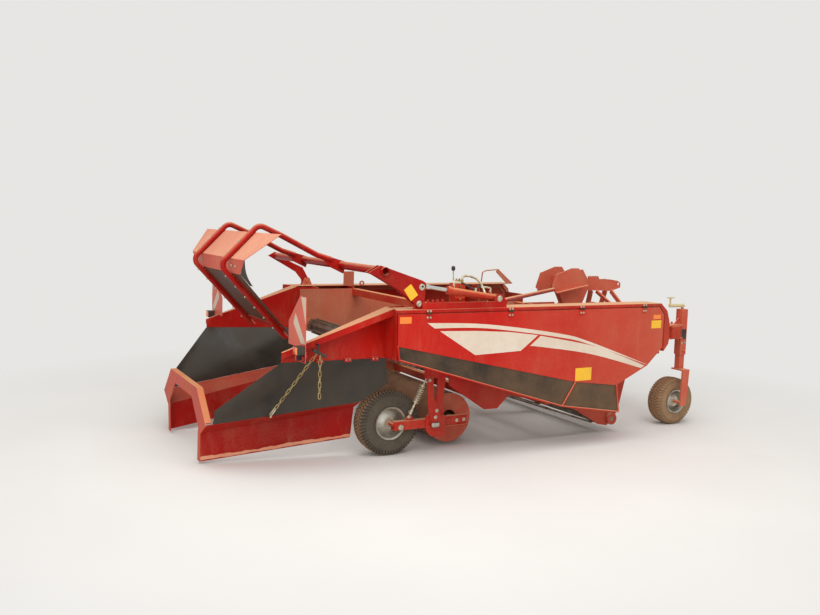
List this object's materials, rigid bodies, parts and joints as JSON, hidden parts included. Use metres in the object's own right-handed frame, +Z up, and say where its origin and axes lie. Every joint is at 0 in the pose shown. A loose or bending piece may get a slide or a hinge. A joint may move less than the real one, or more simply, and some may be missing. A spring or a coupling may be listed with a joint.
{
  "type": "towed onion harvester",
  "caption": "Towed onion lifting and windrowing machine with sieve web, hinged side covers, raised rear hood, rubber curtains, windrow former, depth wheels and three-point headstock.",
  "frame": {"origin": "centre of the overall footprint at floor level", "axes": "+X forward in the direction of travel, +Y to the machine's left, +Z up"},
  "size_m": [4.412, 2.39, 1.7094],
  "materials": {
    "red_paint": "satin",
    "black_rubber": "matt",
    "tyre_rubber": "matt",
    "rim_steel": "satin",
    "web_steel": "worn",
    "chain_steel": "worn",
    "spring_steel": "satin",
    "rod_chrome": "polished",
    "gear_iron": "satin",
    "lamp_lens": "gloss",
    "board_paint": "gloss"
  },
  "bodies": {
    "frame": {"side_frame_right": "red_paint", "side_frame_left": "red_paint", "discharge_wall_right": "red_paint", "discharge_wall_left": "red_paint", "curtain_right": "black_rubber", "curtain_left": "black_rubber", "former_rail_right": "red_paint", "former_rail_left": "red_paint", "front_leg_right": "red_paint", "front_leg_left": "red_paint", "rocker_arm_right": "red_paint", "rocker_arm_left": "red_paint", "cross_beams": "red_paint", "headstock": "red_paint", "mast_plate": "red_paint", "gearbox": "gear_iron", "former_hoop": "red_paint", "lift_chains": "chain_steel", "warning_boards": "board_paint", "lamps": "lamp_lens", "sieve_web": "web_steel", "web_rollers": "web_steel", "spring_rods": "spring_steel", "cylinder_rail": "red_paint", "valve_block": "red_paint"},
    "door_right": {"door_right": "red_paint", "door_skirt_right": "black_rubber"},
    "door_left": {"door_left": "red_paint", "door_skirt_left": "black_rubber"},
    "hood": {"hood_frame": "red_paint", "hood_sheet": "red_paint", "hood_panel": "black_rubber"},
    "hood_cylinder_barrel": {"cylinder_barrel": "red_paint"},
    "hood_cylinder_rod": {"cylinder_rod": "rod_chrome"},
    "press_roller": {"press_roller": "red_paint"},
    "pickup_shaft": {"pickup_shaft": "web_steel"},
    "pto_stub": {"pto_stub": "rim_steel"},
    "front_wheel_right": {"front_tyre_right": "tyre_rubber", "front_rim_right": "rim_steel"},
    "front_wheel_left": {"front_tyre_left": "tyre_rubber", "front_rim_left": "rim_steel"},
    "rear_wheel_right": {"rear_tyre_right": "tyre_rubber", "rear_rim_right": "rim_steel"},
    "rear_wheel_left": {"rear_tyre_left": "tyre_rubber", "rear_rim_left": "rim_steel"}
  },
  "joints": [
    {"name": "door_right_hinge", "type": "hinge", "parent": "frame", "child": "door_right", "pos_m": [0.236, -1.189, 1.113], "axis": [-1, 0, 0], "range_deg": [0, 100]},
    {"name": "door_left_hinge", "type": "hinge", "parent": "frame", "child": "door_left", "pos_m": [0.236, 1.189, 1.113], "axis": [1, 0, 0], "range_deg": [0, 100]},
    {"name": "hood_pivot", "type": "hinge", "parent": "frame", "child": "hood", "pos_m": [-0.807, 0, 1.178], "axis": [0, 1, 0], "range_deg": [-35, 5]},
    {"name": "hood_cylinder_pivot", "type": "hinge", "parent": "frame", "child": "hood_cylinder_barrel", "pos_m": [-0.157, -1.119, 1.205], "axis": [0, 1, 0], "range_deg": [-2.42, 0.6]},
    {"name": "hood_cylinder_stroke", "type": "slide", "parent": "hood_cylinder_barrel", "child": "hood_cylinder_rod", "axis": [-0.9885, 0, 0.1515], "range_m": [-0.0123, 0.0739]},
    {"name": "press_roller_spin", "type": "hinge", "parent": "frame", "child": "press_roller", "pos_m": [-0.284, 0, 0.222], "axis": [0, 1, 0], "continuous": true},
    {"name": "pickup_shaft_spin", "type": "hinge", "parent": "frame", "child": "pickup_shaft", "pos_m": [1.236, 0, 0.12], "axis": [0, 1, 0], "continuous": true},
    {"name": "pto_stub_spin", "type": "hinge", "parent": "frame", "child": "pto_stub", "pos_m": [1.826, 0, 0.69], "axis": [1, 0, 0], "continuous": true},
    {"name": "front_wheel_right_spin", "type": "hinge", "parent": "frame", "child": "front_wheel_right", "pos_m": [1.996, -0.778, 0.21], "axis": [0, 1, 0], "continuous": true},
    {"name": "front_wheel_left_spin", "type": "hinge", "parent": "frame", "child": "front_wheel_left", "pos_m": [1.996, 0.778, 0.21], "axis": [0, 1, 0], "continuous": true},
    {"name": "rear_wheel_right_spin", "type": "hinge", "parent": "frame", "child": "rear_wheel_right", "pos_m": [-0.854, -0.738, 0.248], "axis": [0, 1, 0], "continuous": true},
    {"name": "rear_wheel_left_spin", "type": "hinge", "parent": "frame", "child": "rear_wheel_left", "pos_m": [-0.854, 0.738, 0.248], "axis": [0, 1, 0], "continuous": true}
  ],
  "couplings": [
    {"joint": "hood_cylinder_stroke", "follows": "hood_pivot", "m_per_rad": -0.11767},
    {"joint": "hood_cylinder_pivot", "follows": "hood_pivot", "ratio": 0.06046}
  ]
}
